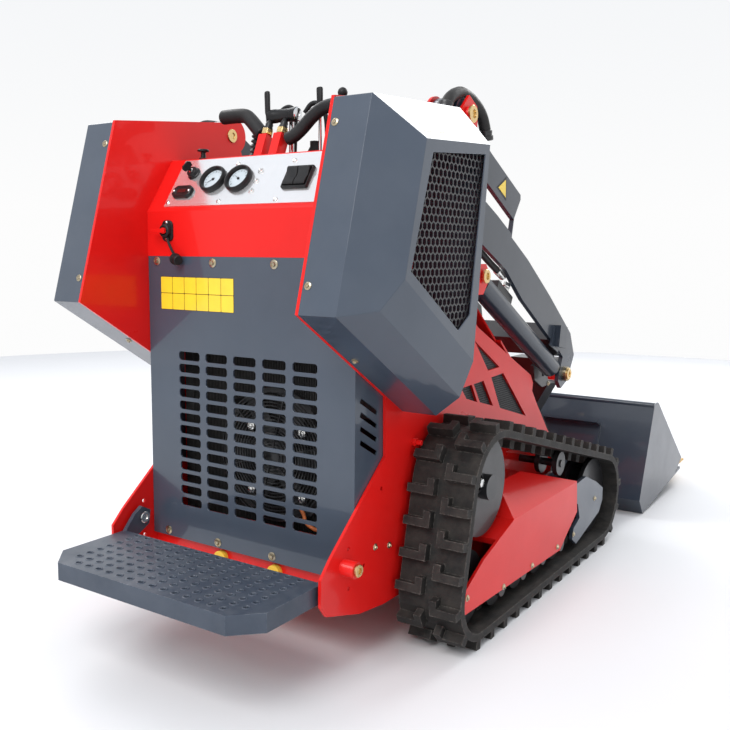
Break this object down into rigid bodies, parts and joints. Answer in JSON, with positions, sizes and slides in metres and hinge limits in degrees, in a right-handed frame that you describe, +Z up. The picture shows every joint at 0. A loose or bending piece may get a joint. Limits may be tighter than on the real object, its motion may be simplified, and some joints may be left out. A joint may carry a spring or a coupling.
{
  "type": "mini skid steer loader",
  "caption": "Stand-on mini skid steer loader on rubber tracks, with lift arms, a toothed bucket, side pods and a fold-up operator platform.",
  "frame": {"origin": "middle of the bounding box at ground level, under the tracks", "axes": "+X to the operator's right, +Y forward to the bucket, +Z up"},
  "size_m": [1.102, 2.865, 1.4571],
  "materials": {
    "red_paint": "glossy powder coat",
    "slate_paint": "satin powder coat",
    "black_paint": "satin",
    "mesh": "satin",
    "panel_steel": "brushed",
    "black_plastic": "satin",
    "grip_rubber": "matte",
    "track_rubber": "dusty matte",
    "engine_iron": "matte",
    "yellow_rubber": "matte",
    "tooth_paint": "satin",
    "zinc": "yellow zinc",
    "chrome_rod": "polished"
  },
  "bodies": {
    "chassis": {"side_plate_left": "red_paint", "side_plate_right": "red_paint", "belly_frame": "red_paint", "console": "red_paint", "hood": "red_paint", "track_frame_left": "red_paint", "track_frame_right": "red_paint", "rear_cover": "slate_paint", "pod_left": "slate_paint", "pod_right": "slate_paint", "idler_brackets": "slate_paint", "track_idlers": "slate_paint", "track_rollers": "slate_paint", "drive_sprockets": "black_paint", "radiator": "black_paint", "cooling_fan": "black_paint", "control_valve": "black_paint", "pod_mesh_left": "mesh", "pod_mesh_right": "mesh", "hood_meshes": "mesh", "instrument_panel": "panel_steel", "gauges": "black_plastic", "panel_switches": "black_plastic", "control_levers": "black_plastic", "grip_bars": "grip_rubber", "arm_hoses": "grip_rubber", "track_left": "track_rubber", "track_right": "track_rubber", "engine": "engine_iron", "bumpers": "yellow_rubber"},
    "arms": {"arm_left": "slate_paint", "arm_right": "slate_paint", "cross_beam": "black_paint", "leg_left": "black_paint", "leg_right": "black_paint", "arm_pins": "zinc"},
    "bucket": {"attach_plate": "slate_paint", "bucket_shell": "slate_paint", "bucket_teeth": "tooth_paint"},
    "lift_barrels_body": {"lift_barrels": "slate_paint"},
    "lift_rods_body": {"lift_rods": "chrome_rod"},
    "tilt_barrel_body": {"tilt_barrel": "slate_paint"},
    "tilt_rod_body": {"tilt_rod": "chrome_rod"},
    "platform_body": {"platform": "slate_paint"}
  },
  "joints": [
    {"name": "arm_lift", "type": "hinge", "parent": "chassis", "child": "arms", "pos_m": [0, -0.7065, 1.365], "axis": [1, 0, 0], "range_deg": [0, 68]},
    {"name": "lift_barrels_swing", "type": "hinge", "parent": "chassis", "child": "lift_barrels_body", "pos_m": [0, -0.5125, 0.955], "axis": [1, 0, 0], "range_deg": [0, 75.72]},
    {"name": "lift_rods_slide", "type": "slide", "parent": "lift_barrels_body", "child": "lift_rods_body", "axis": [0, 0.8859, -0.4638], "range_m": [0, 0.4913]},
    {"name": "bucket_tilt", "type": "hinge", "parent": "arms", "child": "bucket", "pos_m": [0, 0.5825, 0.15], "axis": [-1, 0, 0], "range_deg": [-15, 115]},
    {"name": "tilt_barrel_swing", "type": "hinge", "parent": "arms", "child": "tilt_barrel_body", "pos_m": [0, 0.1725, 0.808], "axis": [1, 0, 0], "range_deg": [-11.08, 1.46]},
    {"name": "tilt_rod_slide", "type": "slide", "parent": "tilt_barrel_body", "child": "tilt_rod_body", "axis": [0, 0.7075, -0.7067], "range_m": [-0.0369, 0.2803]},
    {"name": "platform_fold", "type": "hinge", "parent": "chassis", "child": "platform_body", "pos_m": [0, -1.1125, 0.285], "axis": [-1, 0, 0], "range_deg": [0, 88]}
  ],
  "couplings": [
    {"joint": "lift_barrels_swing", "follows": "arm_lift", "ratio": 1.1128},
    {"joint": "lift_rods_slide", "follows": "arm_lift", "m_per_rad": 0.41355},
    {"joint": "tilt_barrel_swing", "follows": "bucket_tilt", "ratio": -0.096194},
    {"joint": "tilt_rod_slide", "follows": "bucket_tilt", "m_per_rad": 0.13939}
  ]
}
